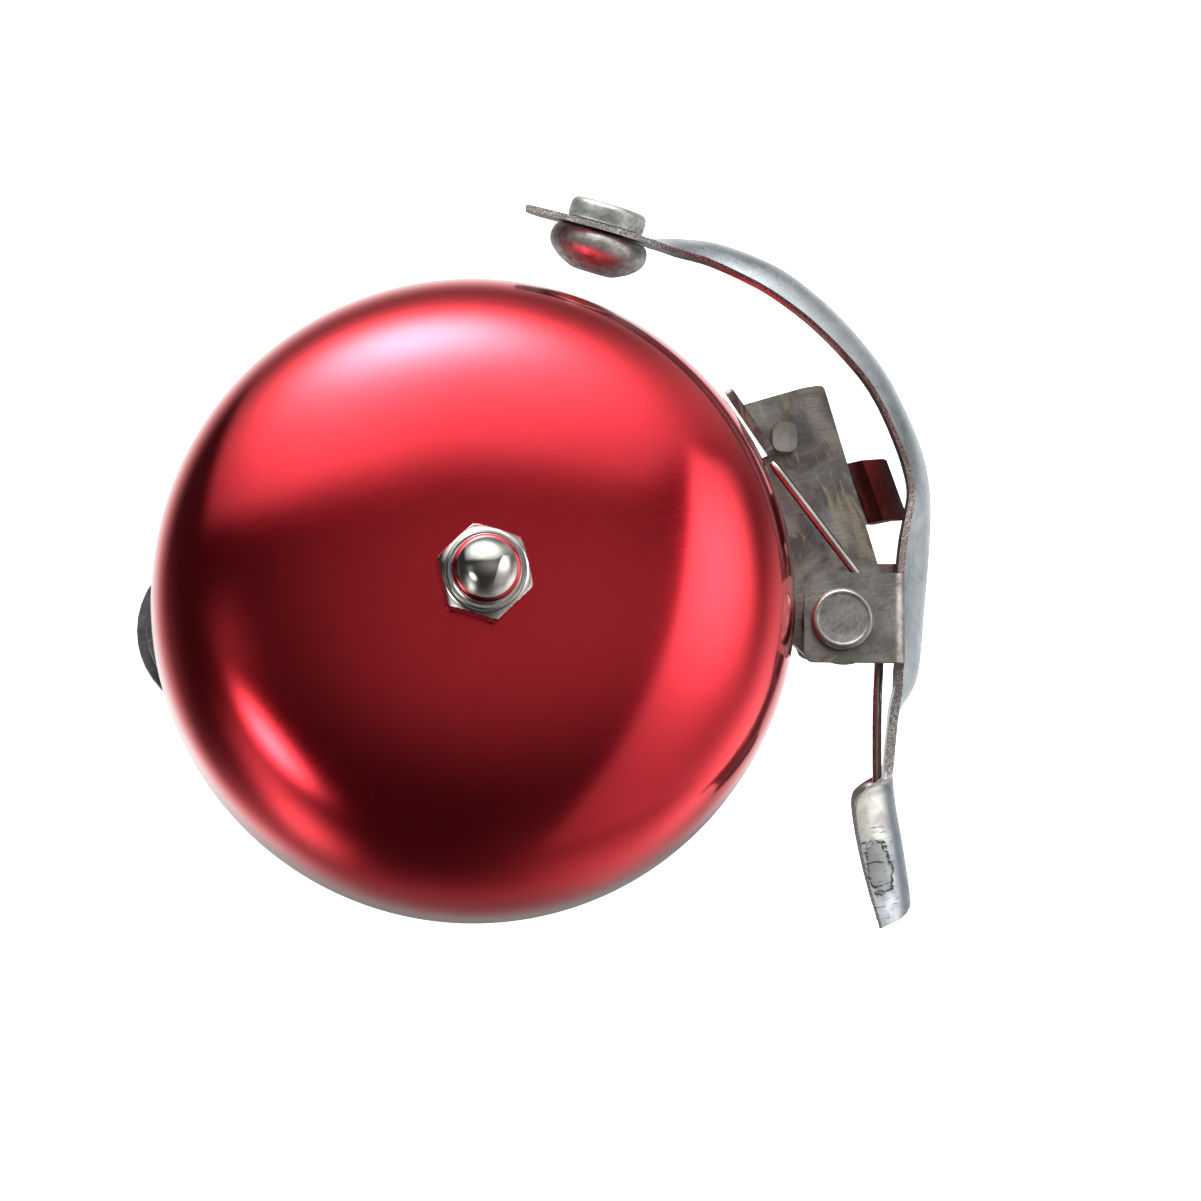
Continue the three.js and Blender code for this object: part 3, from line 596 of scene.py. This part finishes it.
# Crown of the lever from the hammer's tip to the pad's end: x and y from the pivot, half width,
# depth of the dish at the edges, and exponent of the dish.
STATIONS = [
    [-29.2, 40.0, 1.5, 0, 2], [-28.85, 39.95, 2.9, 0, 2], [-28.2, 39.75, 3.8, 0, 2],
    [-27.2, 39.5, 4.4, 0, 2],
    [-24.6, 38.85, 4.6, 0, 2], [-21.8, 38.1, 4.6, 0, 2], [-19.2, 37.35, 4.6, 0, 2],
    [-17.4, 36.95, 4.6, 0.2, 2], [-15.1, 37.0, 4.6, 1.1, 2.3], [-11.6, 36.7, 4.6, 1.8, 2.7],
    [-8.1, 35.6, 4.6, 2.2, 3], [-4.7, 34.0, 4.6, 2.4, 3], [-1.4, 31.5, 4.6, 2.3, 3],
    [0.9, 29.3, 4.6, 2.2, 3], [3.0, 26.9, 4.6, 2.05, 3], [4.7, 24.6, 4.6, 1.9, 3],
    [6.15, 22.0, 4.6, 1.8, 3], [7.6, 18.8, 4.6, 1.8, 2.7], [8.5, 16.0, 4.6, 1.65, 2.4],
    [8.95, 13.2, 4.6, 1.5, 2.2], [9.0, 10.6, 4.65, 1.9, 2], [8.85, 8.0, 4.7, 2.25, 2],
    [8.65, 5.3, 4.6, 2.35, 2], [8.4, 2.6, 4.5, 2.15, 2], [8.15, -0.3, 4.5, 1.9, 2],
    [7.9, -3.0, 4.5, 1.65, 2], [7.55, -4.9, 4.5, 1.5, 2], [6.9, -6.3, 4.1, 1.0, 2],
    [6.15, -7.4, 3.6, 0.35, 2], [5.7, -8.8, 3.3, 0.05, 2], [5.4, -11.3, 3.2, 0, 2],
    [5.25, -13.4, 3.3, 0.1, 2], [5.25, -14.1, 3.8, 0.8, 3], [5.27, -14.6, 4.5, 2.1, 4],
    [5.32, -15.2, 5.0, 3.2, 5], [5.4, -16.0, 5.2, 3.75, 5], [5.6, -17.4, 5.2, 3.9, 5],
    [6.0, -19.6, 5.2, 3.95, 5], [6.4, -22.2, 5.2, 3.8, 5], [6.75, -24.8, 5.1, 3.5, 5],
    [6.95, -27.0, 4.9, 3.1, 5], [6.9, -29.4, 4.5, 2.6, 5],
]
SHEET = 0.85
ARM_THINNING = 0.27
LEAN_X, LEAN_Y, PAD_LEAN = -0.073, -0.141, -0.06
HUB_HALF_WIDTH = 5.1
EAR_THICKNESS = 0.9
HAMMER_SEAT = (-21.9, 37.69)
HAMMER_TILT, HAMMER_RISE = -16.5, 8.9
# Straight cuts that shape the pad's end: x and y on the cut, and its turn in degrees.
PAD_END = [(3.2, -28.2, 24), (6.07, -26.82, 40), (6.2, -26.8, 56), (6.83, -25.69, 74)]


def thickness_at(y):
    """The arm is drawn a little thinner than the hub and the pad."""
    t = min(max((y - 8) / 12, 0), 1)
    return SHEET - ARM_THINNING * t


def lean_at(y):
    """How far the sheet leans along Y for each mm of height."""
    t = min(max((-y - 11) / 4, 0), 1)
    return LEAN_Y + PAD_LEAN * t * t * (3 - 2 * t)


def lever_sheet():
    """Outer and inner faces of the dished sheet, with material 1 on the cut edges."""
    across = 26
    stations = catmull(STATIONS, 5)
    points, faces, kinds = [], [], []
    size = 2 * (across + 1)
    for i, (x, y, half, depth, power) in enumerate(stations):
        before, after = stations[max(i - 1, 0)], stations[min(i + 1, len(stations) - 1)]
        tangent = Vector((after[0] - before[0], after[1] - before[1])).normalized()
        outward = Vector((-tangent.y, tangent.x))
        outer, inner = [], []
        for j in range(across + 1):
            w = math.sin((j / across - 0.5) * math.pi)
            drop = -depth * abs(w) ** power
            slope = -depth * power * abs(w) ** (power - 1) * math.copysign(1, w) / half
            tilt = math.hypot(1, slope)
            trim = (SHEET - thickness_at(y)) / 2
            outer.append((half * w + trim * slope / tilt, drop - trim / tilt))
            inner.append((half * w + (SHEET - trim) * slope / tilt, drop - (SHEET - trim) / tilt))
        for z, n in outer + inner[::-1]:
            points.append((PIVOT_X + x + outward.x * n + LEAN_X * z,
                           PIVOT_Y + y + outward.y * n + lean_at(y) * z, LEVER_MIDDLE + z))
    for i in range(len(stations) - 1):
        for j in range(size):
            k = (j + 1) % size
            faces.append((i * size + j, i * size + k, (i + 1) * size + k, (i + 1) * size + j))
            kinds.append(1 if j in (across, size - 1) else 0)
    for start in (0, (len(stations) - 1) * size):
        for j in range(across):
            faces.append((start + j, start + j + 1, start + size - 2 - j, start + size - 1 - j))
            kinds.append(1)
    return points, faces, kinds


def lever_ear(side, y_low, y_high, corner_low, corner_high):
    """A folded ear: flat, then bent over a 1.6 mm radius into the dished sheet."""
    tip, fold, radius = -3.5, HUB_HALF_WIDTH * (1 + LEAN_X * side), 1.65
    section = []
    for i in range(9):
        section.append((tip + 0.42 * i * max(corner_low, corner_high) / 3.0, 0.0, 0.0))
    reach = section[-1][0]
    for i in range(1, 5):
        section.append((reach + (fold - reach) * i / 4, 0.0, 0.0))
    for i in range(1, 9):
        angle = math.radians(48) * i / 8
        section.append((fold + radius * math.sin(angle), -radius * (1 - math.cos(angle)), angle))
    rows = 14
    top, bottom = [], []
    for x, z, angle in section:
        low, high = y_low, y_high
        inset = x - tip
        if inset < corner_low:
            low += corner_low - math.sqrt(max(corner_low ** 2 - (corner_low - inset) ** 2, 0))
        if inset < corner_high:
            high -= corner_high - math.sqrt(max(corner_high ** 2 - (corner_high - inset) ** 2, 0))
        for row, depth in ((top, 0.0), (bottom, EAR_THICKNESS)):
            px = x - math.sin(angle) * depth
            pz = z - math.cos(angle) * depth
            row.append([(PIVOT_X + px, PIVOT_Y + low + (high - low) * k / rows,
                         LEVER_MIDDLE + side * (HUB_HALF_WIDTH + pz)) for k in range(rows + 1)])
    points, faces, kinds = [], [], []
    index = {}
    for label, rows_of in (("t", top), ("b", bottom)):
        for i, row in enumerate(rows_of):
            for k, point in enumerate(row):
                index[label, i, k] = len(points)
                points.append(point)
    last = len(section) - 1
    for i in range(last):
        for k in range(rows):
            for label in "tb":
                faces.append((index[label, i, k], index[label, i + 1, k],
                              index[label, i + 1, k + 1], index[label, i, k + 1]))
                kinds.append(2)
        for k in (0, rows):
            faces.append((index["t", i, k], index["t", i + 1, k], index["b", i + 1, k], index["b", i, k]))
            kinds.append(1)
    for i in (0, last):
        for k in range(rows):
            faces.append((index["t", i, k], index["t", i, k + 1], index["b", i, k + 1], index["b", i, k]))
            kinds.append(1)
    return points, faces, kinds


def lever():
    points, faces, kinds = [], [], []
    shells = [lever_sheet(), lever_ear(1, -3.9, 4.5, 0.9, 1.9), lever_ear(-1, -2.4, 6.7, 1.4, 3.0)]
    for shell_points, shell_faces, shell_kinds in shells:
        start = len(points)
        points += shell_points
        faces += [tuple(start + v for v in face) for face in shell_faces]
        kinds += shell_kinds
    mesh = bpy.data.meshes.new("lever")
    mesh.from_pydata([Vector(p) * MM for p in points], [], faces)
    mesh.polygons.foreach_set("material_index", kinds)
    bm = bmesh.new()
    bm.from_mesh(mesh)
    bmesh.ops.recalc_face_normals(bm, faces=bm.faces)
    for x, y, turn in PAD_END:
        across, along = math.sin(math.radians(turn)), -math.cos(math.radians(turn))
        away = Vector((across, along, -LEAN_X * across - (LEAN_Y + PAD_LEAN) * along))
        cut_at = Vector((PIVOT_X + x, PIVOT_Y + y, LEVER_MIDDLE)) * MM
        result = bmesh.ops.bisect_plane(bm, geom=bm.verts[:] + bm.edges[:] + bm.faces[:],
                                        plane_co=cut_at, plane_no=away, clear_outer=True)
        rim = [e for e in result["geom_cut"] if isinstance(e, bmesh.types.BMEdge)]
        for face in bmesh.ops.edgeloop_fill(bm, edges=rim)["faces"]:
            face.material_index = 1
    pad_top = (PIVOT_Y - 14.4) * MM
    for face in bm.faces:
        middle = face.calc_center_median()
        if middle.y < pad_top and face.material_index == 0:
            face.material_index = 3
    bm.to_mesh(mesh)
    bm.free()
    obj = piece("lever", mesh, "striker", ["striker_lever"], [ZINC, EDGE, EAR, WORN], 35)
    return bevelled(obj, 0.11, 2, 35)


def hammer():
    seat = Vector((PIVOT_X + HAMMER_SEAT[0], PIVOT_Y + HAMMER_SEAT[1], LEVER_MIDDLE))
    place = Matrix.Translation(seat) @ Matrix.Rotation(math.radians(HAMMER_TILT), 4, "Z")
    place = place @ Matrix.Rotation(math.radians(HAMMER_RISE - 90), 4, "X")
    profile = [(0, -4.25), (1.8, -4.25), (2.3, -4.1), (3.4, -3.55), (4.25, -2.85), (4.65, -2.2),
               (4.7, -1.5), (4.55, -0.9), (4.15, -0.45), (1.6, -0.35), (1.6, 0.35),
               (3.65, 0.36), (3.68, 1.3), (3.6, 1.95), (3.35, 2.25), (2.9, 2.35), (1.4, 2.2), (0, 2.18)]
    mesh = turned("hammer", soften(profile, 0.3, 4), 84, place)
    return piece("hammer", mesh, "striker", ["hammer_rivet"], [HAMMER])


WIRE_RADIUS = 0.44
COIL_RADIUS = 3.5
COIL_X, COIL_Y = 0.6, 0.3
COIL_TOP, COIL_BOTTOM = 3.35, 0.3


def spring():
    """One leg on the bracket's lug, a coil round the pivot, and one leg down to the pad."""
    start_angle = 36.4
    turns = 3 + start_angle / 360
    points = [[-6.1, 15.4, 1.4], [-3.4, 11.7, 2.0], [0.6, 6.2, 2.8]]
    steps = 72
    for i in range(steps + 1):
        angle = math.radians(start_angle - 360 * turns * i / steps)
        height = COIL_TOP + (COIL_BOTTOM - COIL_TOP) * i / steps
        points.append([COIL_X + COIL_RADIUS * math.cos(angle), COIL_Y + COIL_RADIUS * math.sin(angle),
                       height])
    points += [[4.0, -3.4, 0.28], [3.82, -7.5, 0.25], [3.78, -12.0, 0.2], [3.8, -16.6, 0.2]]
    base = LEVER_MIDDLE - 0.3
    path = [(PIVOT_X + x, PIVOT_Y + y, base + z) for x, y, z in catmull(points, 5)]
    mesh = swept("spring", path, WIRE_RADIUS, 14)
    obj = piece("spring", mesh, None, ["torsion_spring"], [WIRE], 60)
    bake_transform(obj)
    return obj


# ---- Clamp ------------------------------------------------------------------------------------

def clamp_screw():
    x, y, _ = centre("clamp_screw")
    low, high = low_of("clamp_screw")[2], high_of("clamp_screw")[2]
    profile = [(0, low), (2.5, low), (4.0, low + 0.8), (4.4, low + 1.8), (4.4, low + 2.9),
               (2.4, low + 2.9), (2.4, high - 0.4), (2.05, high), (0, high)]
    mesh = turned("screw", soften(profile, 0.16, 4), 64, Matrix.Translation((x, y, 0)))
    obj = piece("screw", mesh, "screw", ["clamp_screw"], [DULL])
    slot = bpy.data.meshes.new("slot")
    corners = [(sx * 5.2, sy * 0.55, sz)
               for sx in (-1, 1) for sy in (-1, 1) for sz in (low - 1, low + 1.15)]
    slot.from_pydata([Vector((x + a, y + b, c)) * MM for a, b, c in corners], [],
                     [(0, 1, 3, 2), (4, 6, 7, 5), (0, 4, 5, 1), (2, 3, 7, 6), (0, 2, 6, 4), (1, 5, 7, 3)])
    cutter = bpy.data.objects.new("slot_cutter", slot)
    bpy.context.scene.collection.objects.link(cutter)
    cut = obj.modifiers.new("slot", "BOOLEAN")
    cut.operation = "DIFFERENCE"
    cut.solver = "EXACT"
    cut.object = cutter
    graph = bpy.context.evaluated_depsgraph_get()
    result = bpy.data.meshes.new_from_object(obj.evaluated_get(graph))
    obj.modifiers.clear()
    obj.data = result
    smooth(result, 32)
    bpy.data.objects.remove(cutter)
    return obj


def clamp_nut():
    x, y, _ = centre("clamp_nut")
    low, high = low_of("clamp_nut")[2], high_of("clamp_nut")[2]
    height = high - low
    body = chamfered_hex(8, height, 0.7)
    hole = [(3.0, height - 0.02), (2.65, height - 0.4), (2.65, 0.3), (2.9, 0)]
    mesh = turned("clamp_nut_fine", body[1:] + hole, 96, Matrix.Translation((x, y, low)), closed=True,
                  radius_at=hex_limit(8, 0))
    return piece("clamp_nut_fine", mesh, "frame", ["clamp_nut"], [ZINC], 24)


def hinge_pin():
    x, _, z = centre("clamp_hinge_pin")
    place = Matrix.Translation((x, 0, z)) @ Matrix.Rotation(math.radians(-90), 4, "X")
    return rivet("hinge_pin", "clamp_hinge_pin", 2, 0.8, 1.2, 1.9, 0.7, "frame", DULL,
                 matrix=place)


# ---- The object -------------------------------------------------------------------------------

dome()
acorn_nut()
stud()
sleeve("washer_fine", "dome_washer", 5.5, 2.7, "frame", FIBRE, 0.2)
sleeve("post_fine", "spacer_post", 4, 2.7, "frame", DULL)
lever()
hammer()
spring()
rivet("pivot_rivet_fine", "pivot_rivet", 2.9, 1.15, 1.7, 2.25, 0.9, "frame", DULL, 0.1)
sleeve("pivot_washer_fine", "pivot_washer", 2.4, 1.78, "frame", ZINC, 0.1)
sleeve("spring_bush_fine", "spring_bush", 2.25, 1.78, "frame", BRASS, 0.1)
sleeve("lower_bush_fine", "lower_bush", 2.35, 1.78, "frame", BRASS, 0.1)
refined("hammer_bracket", "frame", [TINTED], 0.14)
refined("base_plate", "frame", [DARK], 0.16)
for index in (1, 2):
    rivet(f"bracket_rivet_{index}", f"plate_rivet_{index}", 2.5, 1.1, 1.45, 2.4, 0.7,
          "frame", DULL, 0.05)
    rivet(f"base_rivet_{index}", f"saddle_rivet_{index}", 2, 0.8, 1.45, 2, 0.5,
          "frame", DULL, 0.03)
refined("clamp_saddle", "frame", [DARK], 0.18, 3)
refined("clamp_strap", "strap", [DARK], 0.18, 3)
refined("liner_upper", "frame", [RUBBER], 0.2, 3)
refined("liner_lower", "strap", [RUBBER], 0.2, 3)
clamp_screw()
clamp_nut()
sleeve("washer_top_fine", "clamp_washer_upper", 4.7, 2.75, "frame", ZINC)
sleeve("washer_under_fine", "clamp_washer_lower", 4.7, 2.75, "strap", ZINC)
hinge_pin()


# ---- Camera -----------------------------------------------------------------------------------

LENS, SENSOR = 255.85, 36
DISTANCE = 0.8
TILT = math.radians(9.03)
BACK = Vector((-0.459 * math.sin(TILT), -0.889 * math.sin(TILT), math.cos(TILT))).normalized()
RIGHT = Vector((0, 1, 0)).cross(BACK).normalized()
UP = BACK.cross(RIGHT)
AIM = Vector((12.13, 0.58, RIM)) * MM

camera_data = bpy.data.cameras.new("camera")
camera_data.lens = LENS
camera_data.sensor_width = SENSOR
camera_data.clip_end = 50
camera = bpy.data.objects.new("camera", camera_data)
bpy.context.scene.collection.objects.link(camera)
turn = Matrix((RIGHT, UP, BACK)).transposed().to_4x4()
camera.matrix_world = Matrix.Translation(AIM + BACK * DISTANCE) @ turn
bpy.context.scene.camera = camera
bpy.context.scene.view_settings.view_transform = "Standard"


# ---- Studio: soft boxes around a plain pale table ----------------------------------------------

def studio():
    """A dark room with soft boxes. Directions are laid out flat about the line to the lens:
    across and up are angles in units of 45 degrees."""
    n = Nodes("studio", world=True)
    direction = n.tree.nodes.new("ShaderNodeTexCoord").outputs["Generated"]
    r = n.vector("DOT_PRODUCT", direction, tuple(RIGHT), out=1)
    u = n.vector("DOT_PRODUCT", direction, tuple(UP), out=1)
    t = n.vector("DOT_PRODUCT", direction, tuple(BACK), out=1)
    angle = n.math("ARCCOSINE", t)
    side = n.math("MAXIMUM", n.math("SINE", angle), 0.001)
    spread = n.math("DIVIDE", n.math("MULTIPLY", angle, 4 / math.pi), side)
    x = n.math("MULTIPLY", r, spread)
    y = n.math("MULTIPLY", u, spread)

    def glow(cx, cy, wide, high, strength, lean=0.0, power=1.0):
        c, s = math.cos(math.radians(lean)), math.sin(math.radians(lean))
        dx, dy = n.math("SUBTRACT", x, cx), n.math("SUBTRACT", y, cy)
        a = n.math("ADD", n.math("MULTIPLY", dx, c / wide), n.math("MULTIPLY", dy, s / wide))
        b = n.math("ADD", n.math("MULTIPLY", dx, -s / high), n.math("MULTIPLY", dy, c / high))
        d = n.math("ADD", n.math("MULTIPLY", a, a), n.math("MULTIPLY", b, b))
        if power != 1.0:
            d = n.math("POWER", d, power)
        return n.math("MULTIPLY", n.math("EXPONENT", n.math("MULTIPLY", d, -1.0)), strength)

    def side_of(px, py, lean, soft):
        """1 on the left of a line through a point with that direction, 0 on its right."""
        c, s = math.cos(math.radians(lean)), math.sin(math.radians(lean))
        d = n.math("ADD", n.math("MULTIPLY", n.math("SUBTRACT", x, px), -s),
                   n.math("MULTIPLY", n.math("SUBTRACT", y, py), c))
        return n.ramp(d, -soft, soft)

    def product(*values):
        result = values[0]
        for value in values[1:]:
            result = n.math("MULTIPLY", result, value)
        return result

    def total(*values):
        result = values[0]
        for value in values[1:]:
            result = n.math("ADD", result, value)
        return result

    top = product(
        total(glow(-0.3, 1.42, 1.05, 0.68, 3.0), glow(-0.22, 1.66, 0.56, 0.31, 12.5),
              glow(0.8, 1.3, 0.5, 0.5, 0.5)),
        side_of(0, 0.66, 0, 0.13), side_of(-1.70, 0.9, -80, 0.16), side_of(0.72, 0.66, 33, 0.12))
    right = product(
        total(glow(1.35, 0.42, 0.55, 0.6, 2.7), glow(1.1, -0.6, 0.8, 0.7, 0.4)),
        side_of(1.02, 0.5, -114, 0.06), side_of(0.80, -0.2, -106, 0.07), side_of(1.6, 1.08, 185, 0.08),
        side_of(1.3, -1.16, 12, 0.12), side_of(1.95, 0.0, 94, 0.25))
    small = total(glow(-1.02, -0.58, 0.25, 0.13, 7.0, -52), glow(-1.2, -1.45, 0.30, 0.42, 1.4),
                  glow(-1.32, -0.85, 0.30, 0.35, 0.45))
    fill = total(glow(0.40, 0.25, 0.85, 0.48, 0.30), glow(-1.2, 0.0, 0.28, 0.22, 0.20),
                 glow(2.05, -1.15, 1.0, 0.42, 1.3, 63), glow(2.5, 0.1, 0.45, 0.6, 0.5),
                 glow(0.0, -2.5, 1.8, 0.6, 0.22), glow(0.0, 2.5, 1.2, 0.35, 0.15),
                 glow(-2.0, -2.1, 0.8, 0.75, 0.42), glow(-2.7, -0.6, 0.35, 0.9, 0.14),
                 glow(1.1, -1.8, 0.6, 0.8, 0.48), glow(2.5, -1.0, 0.3, 0.6, 0.45),
                 glow(1.8, 1.7, 0.75, 0.75, 0.42), glow(2.8, 1.0, 0.3, 0.8, 0.25), 0.04)
    ring = n.ramp(n.math("MULTIPLY", angle, 4 / math.pi), 2.58, 3.5, 0.0, 0.95)
    ring = n.math("MULTIPLY", ring, n.ramp(y, -2.9, -1.6, 0.22, 1.0))
    level = total(top, right, small, fill, ring)
    background = n.add("ShaderNodeBackground", Color=rgba(1.0, 0.985, 0.97), Strength=level)
    output = n.tree.nodes.new("ShaderNodeOutputWorld")
    n.tree.links.new(background.outputs[0], output.inputs["Surface"])
    bpy.context.scene.world = n.owner


def table(name, height, radius):
    """A flat round table top in rings."""
    count = 72
    radii = [radius * (0.02 + 0.98 * (i / 12) ** 1.6) for i in range(13)]
    points, faces = [], [tuple(reversed(range(count)))]
    for r in radii:
        for i in range(count):
            angle = 2 * math.pi * i / count
            points.append((r * math.cos(angle), r * math.sin(angle), height))
    for k in range(len(radii) - 1):
        for i in range(count):
            j = (i + 1) % count
            faces.append((k * count + i, k * count + j, (k + 1) * count + j, (k + 1) * count + i))
    mesh = bpy.data.meshes.new(name)
    mesh.from_pydata(points, [], faces)
    obj = bpy.data.objects.new(name, mesh)
    bpy.context.scene.collection.objects.link(obj)
    return obj


def floor_and_backdrop():
    """A plain pale table and backdrop. The studio's light, not these, is what the metal mirrors."""
    pale = Nodes("pale_table")
    grain = pale.noise(pale.place(), 0.8, 3.0)
    colour = pale.blend(pale.ramp(grain, 0.4, 0.6), rgba(0.80, 0.80, 0.80), rgba(0.82, 0.82, 0.82))
    seen = table("table", FLOOR, 3.0)
    seen.data.materials.append(pale.finish(
        Base_Color=colour, Roughness=0.8, Emission_Color=rgba(1, 1, 1), Emission_Strength=0.9))
    seen.visible_glossy = False
    seen.visible_diffuse = False
    seen.visible_transmission = False

    wall = Nodes("pale_backdrop")
    shader = wall.add("ShaderNodeEmission", Color=rgba(0.97, 0.97, 0.97), Strength=1.0)
    out = wall.tree.nodes.new("ShaderNodeOutputMaterial")
    wall.tree.links.new(shader.outputs[0], out.inputs["Surface"])
    rings = [(3.0, FLOOR), (3.2, FLOOR + 0.1), (3.4, 0.6), (3.4, 2.2), (2.4, 3.4), (1.0, 3.9), (0.0, 4.0)]
    mesh = turned("backdrop", [(a * 1000, b * 1000) for a, b in rings], 64)
    backdrop = bpy.data.objects.new("backdrop", mesh)
    bpy.context.scene.collection.objects.link(backdrop)
    mesh.materials.append(wall.owner)
    backdrop.visible_glossy = False
    backdrop.visible_diffuse = False
    backdrop.visible_transmission = False
    backdrop.visible_shadow = False


studio()
floor_and_backdrop()
